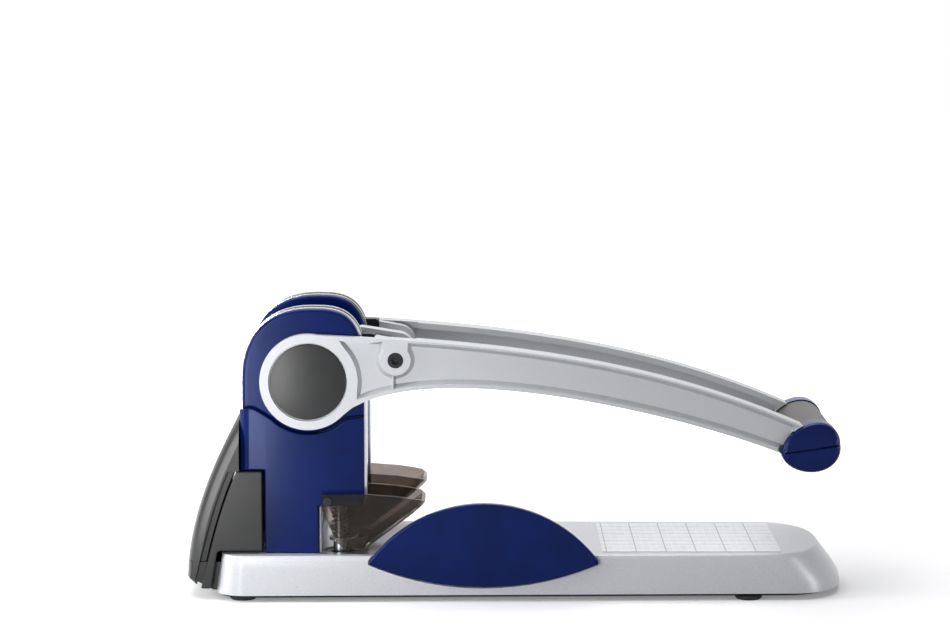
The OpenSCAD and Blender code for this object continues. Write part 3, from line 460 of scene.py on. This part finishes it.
def finishNode(piece, node, width, steps=2, angle=32):  # small bevel, smooth faces, dress
    bpy.ops.object.mode_set(mode="OBJECT")
    if width:
        applyModifier(piece, "BEVEL", {
            "width": width * mm, "segments": steps, "limit_method": "ANGLE",
            "angle_limit": radians(angle), "miter_outer": "MITER_ARC"})
    bpy.ops.object.shade_smooth_by_angle(angle=radians(angle))
    applyModifier(piece, "WEIGHTED_NORMAL", {"keep_sharp": True})
    dress(piece, node)


# a flat moulded face: its rim is rolled, and it falls away from the middle to both ends

rimAngle = 40     # degrees, an edge sharper than this belongs to the rim
crownEnd = 1.2    # times the reach, beyond which the face falls no further


def rollRim(piece, form):
    bpy.ops.mesh.select_all(action="DESELECT")
    mesh = bmesh.from_edit_mesh(piece.data)
    keepOff = form.get("keepOff")  # centre x, centre z and radius where nothing is rolled
    for edge in mesh.edges:
        if not edge.is_manifold or edge.calc_face_angle() < radians(rimAngle):
            continue
        ends = [vert.co / mm for vert in edge.verts]
        middle = (ends[0] + ends[1]) / 2
        clear = not keepOff or (Vector((middle.x - keepOff[0], middle.z - keepOff[1])).length
                                > keepOff[2])
        edge.select_set(clear and all(abs(end.y - form["face"]) < nearly for end in ends))
    bmesh.update_edit_mesh(piece.data)
    bpy.ops.mesh.bevel(offset=form["round"] * mm, segments=form["steps"], affect="EDGES",
                       clamp_overlap=False)


def sliceAcross(piece, slices):  # cuts that let the face bend along x
    places = [vert.co.x for vert in piece.data.vertices]
    low, high = min(places), max(places)
    for cut in range(1, slices):
        bpy.ops.mesh.select_all(action="SELECT")
        bpy.ops.mesh.bisect(plane_co=(low + (high - low) * cut / slices, 0, 0),
                            plane_no=(1, 0, 0))


def crownFace(piece, form):  # the walls under the face follow it less with depth
    mesh = bmesh.from_edit_mesh(piece.data)
    inward = -1 if form["face"] > 0 else 1
    for vert in mesh.verts:
        near = max(0, 1 - abs(vert.co.y / mm - form["face"]) / form["depth"])
        part = min(abs(vert.co.x / mm - form["middle"]) / form["reach"], crownEnd)
        vert.co.y += inward * form["crown"] * mm * near * part ** 2
    bmesh.update_edit_mesh(piece.data)


def roundFace(piece, form):
    rollRim(piece, form)
    sliceAcross(piece, form["slices"])
    crownFace(piece, form)


# the two heads: blue shells above, blue covers below

headSet = {"axleKeep": 20.0, "edge": 0.3, "smooth": 50}  # nothing is rolled near the axle
shellForm = {"round": 2.2, "steps": 4, "crown": 1.0, "middle": -128.0, "reach": 56.0,
             "depth": 4.4, "slices": 14}
coverForm = {"round": 1.1, "steps": 4, "crown": 2.4, "middle": -128.0, "reach": 56.0,
             "depth": 6.4, "slices": 14}


def addPanel(node, headY, form):
    piece = copyNode(node)
    roundFace(piece, {**form, "face": farSide(node, headY),
                      "keepOff": (axleX, axleZ, headSet["axleKeep"])})
    finishNode(piece, node, headSet["edge"], 1, headSet["smooth"])


for side in sides:
    headY = sum(spanOf("head_frame_" + side, "y")) / 2
    for layer in ("outer", "inner"):
        addPanel(f"upper_shell_{side}_{layer}", headY, shellForm)
        addPanel(f"lower_cover_{side}_{layer}", headY, coverForm)
print("heads rounded")


# the two cast arms: pockets whose walls slope, soft edges all round

armSet = {"pocket": 4.0, "edge": 0.7, "edgeSteps": 3,
          "slope": 2.7, "ribSlope": 0.5, "farthest": 3.6,  # mm that the rim moves outwards
          "rib": (-83.3, -81.3), "squareOn": 0.999,        # the rib's walls face along x
          "upright": 0.02,                                 # mm, an edge straight into the pocket
          "inLine": 0.05}                                  # sine between walls that run on


def wallShift(wall, x):  # which way a pocket's wall faces, and how far its rim moves
    normal = Vector((wall.normal.x, wall.normal.z)).normalized()
    onRib = abs(normal.x) > armSet["squareOn"] and armSet["rib"][0] < x < armSet["rib"][1]
    return normal, armSet["ribSlope"] if onRib else armSet["slope"]


def cornerShift(walls):  # where the moved planes of two walls meet
    (a, da), (b, db) = walls[0], walls[-1]
    cross = a.x * b.y - a.y * b.x
    if abs(cross) < armSet["inLine"]:
        shift = -(a + b).normalized() * (da + db) / 2
    else:
        shift = Vector((-da * b.y + db * a.y, -db * a.x + da * b.x)) / cross
    if shift.length > armSet["farthest"]:
        shift = shift.normalized() * armSet["farthest"]
    return shift


def openPocket(piece, face):  # slides the pocket's rim outwards, so that its walls slope
    mesh = bmesh.from_edit_mesh(piece.data)
    shifts = {}
    for edge in mesh.edges:
        top, low = sorted(edge.verts, key=lambda vert: -abs(vert.co.y))
        aside = (Vector((top.co.x, top.co.z)) - Vector((low.co.x, low.co.z))).length
        depth = abs(top.co.y - low.co.y) / mm
        onFace = abs(top.co.y / mm - face) <= nearly
        if onFace and aside <= armSet["upright"] * mm and abs(depth - armSet["pocket"]) <= nearly:
            shifts[top] = cornerShift([wallShift(wall, top.co.x / mm)
                                       for wall in edge.link_faces])
    for vert, shift in shifts.items():
        vert.co.x += shift.x * mm
        vert.co.z += shift.y * mm
    bmesh.update_edit_mesh(piece.data)
    return len(shifts)


for side in sides:
    node = "arm_" + side
    arm = copyNode(node)
    moved = openPocket(arm, farSide(node))
    finishNode(arm, node, armSet["edge"], armSet["edgeSteps"])
    print(side, "arm made, rim points moved:", moved)


# the black caps over the hinge: shallow domes with a thin gap round them

hubSet = {"gap": 0.4, "rise": 1.5, "rings": 12, "facets": 96, "corner": 0.35,
          "cornerSteps": 3, "smooth": 35}


def addHubCap(side, sign):
    deselectAll()
    node = "hub_cap_" + side
    foot, top = sorted(abs(place) for place in spanOf(node, "y"))
    edge = top - hubSet["rise"]
    radius = spanOf(node, "x")[1] - axleX - hubSet["gap"]
    bpy.ops.mesh.primitive_cylinder_add(
        vertices=hubSet["facets"], radius=radius * mm, depth=(edge - foot) * mm,
        location=(axleX * mm, sign * (edge + foot) / 2 * mm, axleZ * mm),
        rotation=(-sign * pi / 2, 0, 0))
    cap = bpy.context.object
    cap.name = "hubDome" + side.title()
    bpy.ops.object.transform_apply(location=True, rotation=True)
    bpy.ops.object.mode_set(mode="EDIT")
    bpy.ops.mesh.select_all(action="DESELECT")
    mesh = bmesh.from_edit_mesh(cap.data)
    for face in mesh.faces:  # only the outer end
        face.select_set(face.normal.y * sign > facing)
    bmesh.update_edit_mesh(cap.data)
    step = radius / hubSet["rings"]
    for ring in range(1, hubSet["rings"]):  # the dome is a parabola, raised ring by ring
        outer, inner = radius - step * (ring - 1), radius - step * ring
        lift = hubSet["rise"] * ((outer / radius) ** 2 - (inner / radius) ** 2)
        bpy.ops.mesh.inset(thickness=step * mm, depth=0)
        bpy.ops.transform.translate(value=(0, sign * lift * mm, 0))
    finishNode(cap, node, hubSet["corner"], hubSet["cornerSteps"], hubSet["smooth"])


for side, sign in sides.items():
    addHubCap(side, sign)
print("hinge caps domed")


# the blue lens of the side guide: a thick moulded plate with a rolled edge

lensForm = {"round": 1.4, "steps": 4, "crown": 1.2, "middle": 8.0, "reach": 100.0,
            "depth": 5.0, "slices": 24}


def addLens():
    lens = copyNode("guide_plate")
    roundFace(lens, {**lensForm, "face": farSide("guide_plate")})
    finishNode(lens, "guide_plate", 0)


addLens()
print("lens rounded")


# blue end caps of the crossbar, two halves each

endCapForm = {"round": 1.4, "steps": 3, "crown": 1.6, "middle": 203.0, "reach": 26.0,
              "depth": 8.0, "slices": 10, "edge": 0.25}


def addEndCap(node):
    endCap = copyNode(node)
    roundFace(endCap, {**endCapForm, "face": farSide(node)})
    finishNode(endCap, node, endCapForm["edge"])


for side in sides:
    for half in ("upper", "lower"):
        addEndCap(f"end_cap_{side}_{half}")
print("end caps rounded")


# the springs over the presser feet (which close up as the feet rise): smooth copies, each with a mesh of its own

springSet = {"smooth": 50}


def addSpring(side):
    node = "spring_" + side
    spring = copyNode(node)
    finishNode(spring, node, 0, angle=springSet["smooth"])
    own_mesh(spring)


for side in sides:
    addSpring(side)
print("springs made")


# the other moulded, bent or machined parts keep their shape and get soft edges

edgeWidths = {  # radius of the edges, in mm
    "base_shell": 1.2, "back_stop": 0.3, "die_plate": 0.3,
    "head_strap_left": 0.4, "head_strap_right": 0.4,
    "rear_cover": 1.2, "side_panel_left": 1.0, "side_panel_right": 1.0,
    "bridge": 0.6, "drive_sector_left": 0.25, "drive_sector_right": 0.25,
    "handle_tube": 0.4, "handle_grip": 0.4,
    "guard_left": 0.4, "guard_right": 0.4, "chip_tray": 0.3,
}
for node, width in edgeWidths.items():
    finishNode(copyNode(node), node, width)
print("edges softened:", len(edgeWidths))


# the small or hidden parts stay as they are, with the better material

plainNodes = [node for node in frame["nodes"] if node not in shapedNodes]
for node in plainNodes:
    for slot in frame["nodes"][node].material_slots:
        slot.material = finishOf(node)
print("plain nodes finished:", len(plainNodes))
